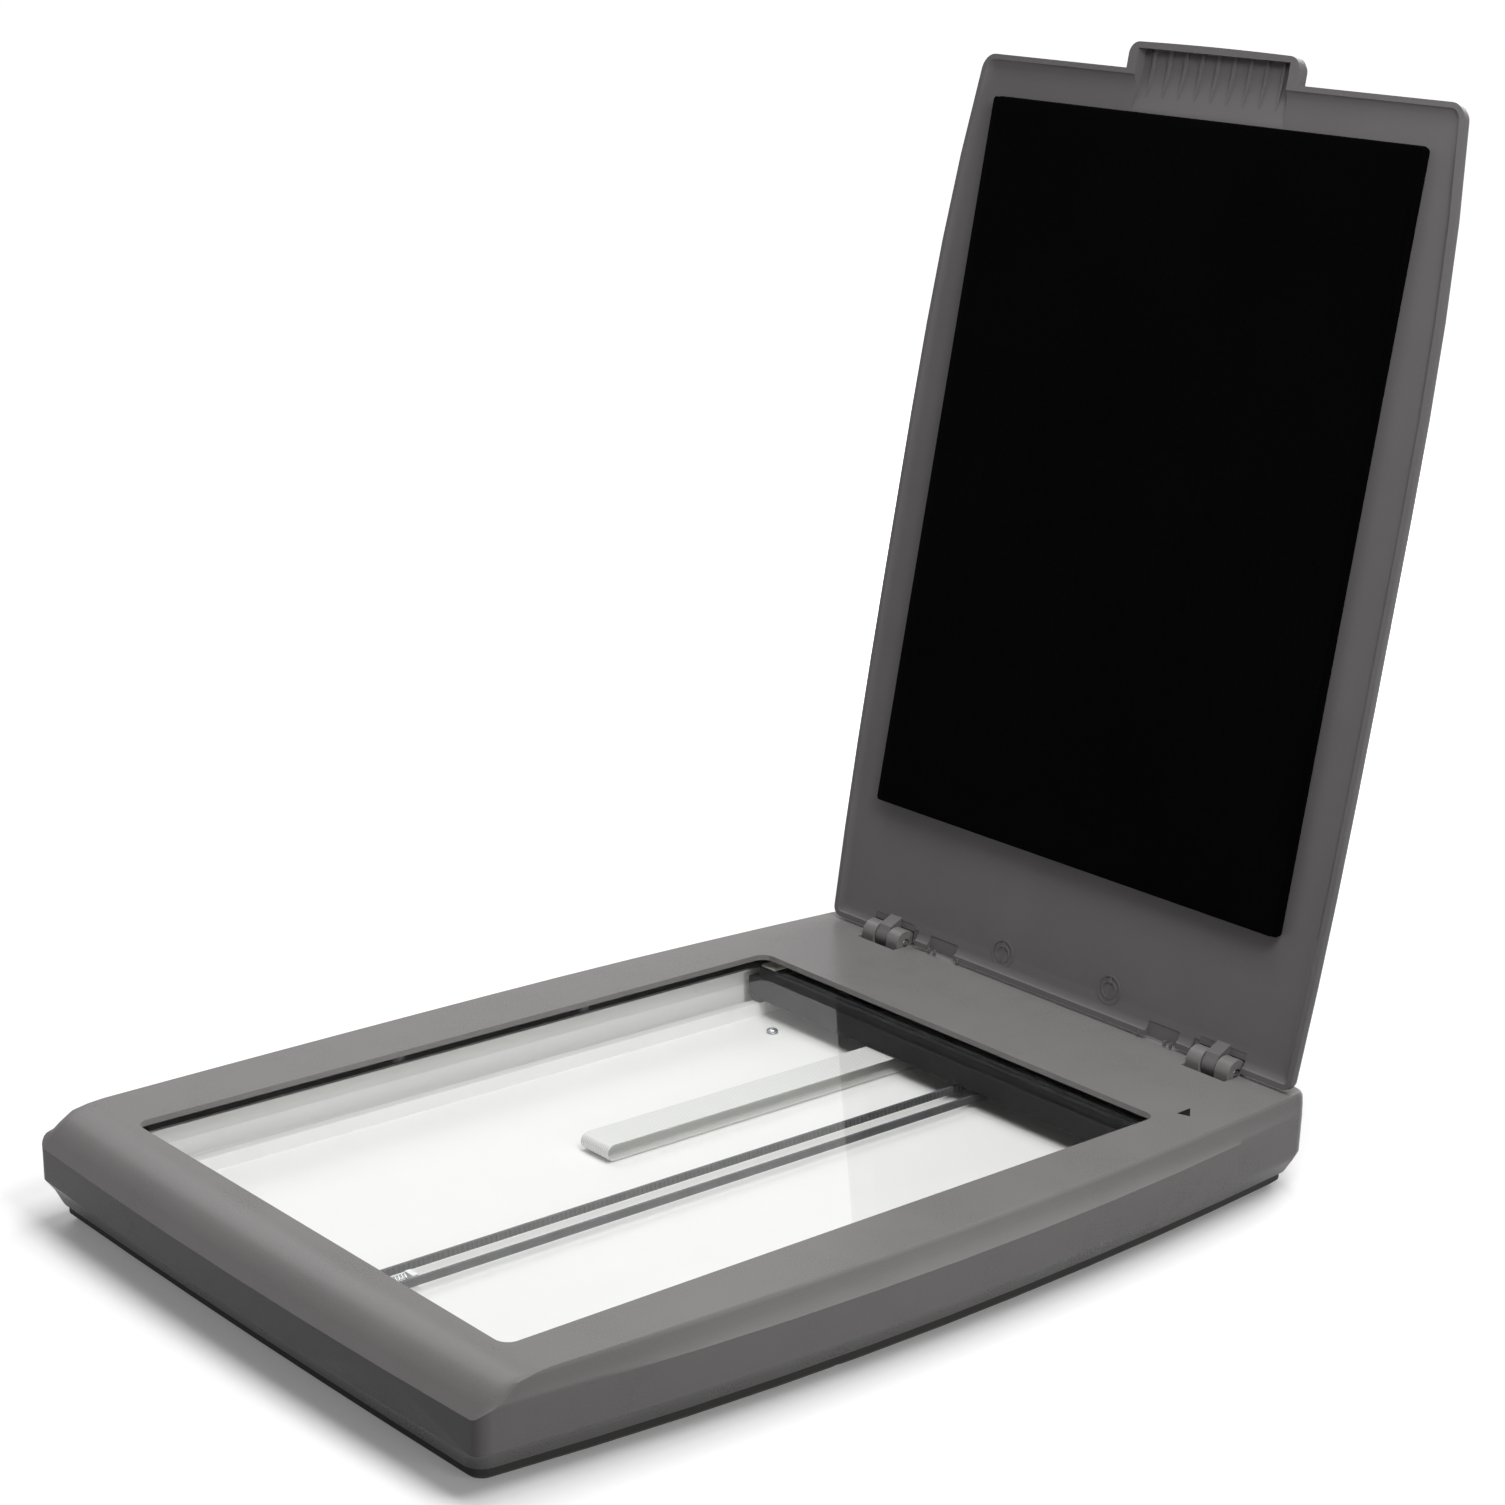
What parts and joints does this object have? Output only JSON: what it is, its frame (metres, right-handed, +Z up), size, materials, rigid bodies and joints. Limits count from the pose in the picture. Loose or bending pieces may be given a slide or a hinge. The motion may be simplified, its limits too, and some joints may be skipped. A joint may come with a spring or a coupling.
{
  "type": "flatbed scanner",
  "caption": "Flatbed document scanner with a hinged cover that lifts on sliding posts, a glass bed and a belt-driven sensor carriage inside.",
  "frame": {"origin": "middle of the space that the scanner takes up with its lid open, at the level of the desk under its feet", "axes": "+X to the right as the user sits in front of it, +Y from the front lip towards the hinge, +Z up"},
  "size_m": [0.2814, 0.4456, 0.4129],
  "materials": {
    "casing": "satin",
    "underside": "matte",
    "pale": "matte",
    "glass": "polished",
    "white": "matte",
    "rubber": "matte",
    "black": "satin",
    "mat_foam": "matte",
    "mat_sheet": "matte",
    "steel": "polished",
    "zinc": "satin",
    "brass": "satin",
    "nylon": "satin",
    "belt": "matte",
    "board": "satin",
    "ribbon": "satin"
  },
  "bodies": {
    "base": {"top_cover": "casing", "bottom_pan": "underside", "chassis_tray": "pale", "scan_glass": "glass", "calibration_strip": "white", "foot_front_left": "rubber", "foot_front_right": "rubber", "foot_rear_left": "rubber", "foot_rear_right": "rubber", "guide_rod": "steel", "gear_axle": "steel", "tension_spring": "steel", "case_screw_1": "zinc", "case_screw_2": "zinc", "case_screw_3": "zinc", "case_screw_4": "zinc", "case_screw_5": "zinc", "case_screw_6": "zinc", "tray_screw_1": "zinc", "tray_screw_2": "zinc", "tray_screw_3": "zinc", "tray_screw_4": "zinc", "board_screw_1": "zinc", "board_screw_2": "zinc", "motor_screw_1": "zinc", "motor_screw_2": "zinc", "data_socket": "zinc", "stepper_motor": "zinc", "idler_bracket": "zinc", "drive_belt": "belt", "main_board": "board", "ribbon_cable": "ribbon"},
    "carriage": {"carriage_frame": "black", "sensor_housing": "black", "sensor_glass": "glass", "light_guide": "white", "lens_bar": "black", "glass_slider_left": "nylon", "glass_slider_right": "nylon", "pressure_spring_left": "steel", "pressure_spring_right": "steel", "belt_clamp": "black"},
    "motor_pinion": {"motor_pinion": "brass"},
    "drive_gear": {"drive_gear": "nylon"},
    "idler_pulley": {"idler_pulley": "nylon"},
    "hinge_posts": {"hinge_post_left": "casing", "hinge_post_right": "casing", "hinge_pin_left": "steel", "hinge_pin_right": "steel"},
    "lid": {"lid_shell": "casing", "mat_foam": "mat_foam", "mat_sheet": "mat_sheet"}
  },
  "joints": [
    {"name": "carriage_travel", "type": "slide", "parent": "base", "child": "carriage", "axis": [0, -1, 0], "range_m": [0, 0.304], "deforming": ["ribbon_cable"]},
    {"name": "drive_gear_turn", "type": "hinge", "parent": "base", "child": "drive_gear", "pos_m": [0.013, 0.14159, 0.0122], "axis": [0, 0, 1], "continuous": true},
    {"name": "motor_turn", "type": "hinge", "parent": "base", "child": "motor_pinion", "pos_m": [0.0346, 0.14159, 0.0122], "axis": [0, 0, 1], "continuous": true},
    {"name": "idler_turn", "type": "hinge", "parent": "base", "child": "idler_pulley", "pos_m": [0.013, -0.19991, 0.017], "axis": [0, 0, 1], "continuous": true},
    {"name": "post_lift", "type": "slide", "parent": "base", "child": "hinge_posts", "axis": [0, 0, 1], "range_m": [0, 0.015]},
    {"name": "lid_hinge", "type": "hinge", "parent": "hinge_posts", "child": "lid", "pos_m": [0.002, 0.15379, 0.0412], "axis": [1, 0, 0], "range_deg": [0, 99.4]}
  ],
  "couplings": [
    {"joint": "drive_gear_turn", "follows": "carriage_travel", "rad_per_m": 175.44},
    {"joint": "motor_turn", "follows": "carriage_travel", "rad_per_m": -614.04},
    {"joint": "idler_turn", "follows": "carriage_travel", "rad_per_m": 175.44}
  ]
}
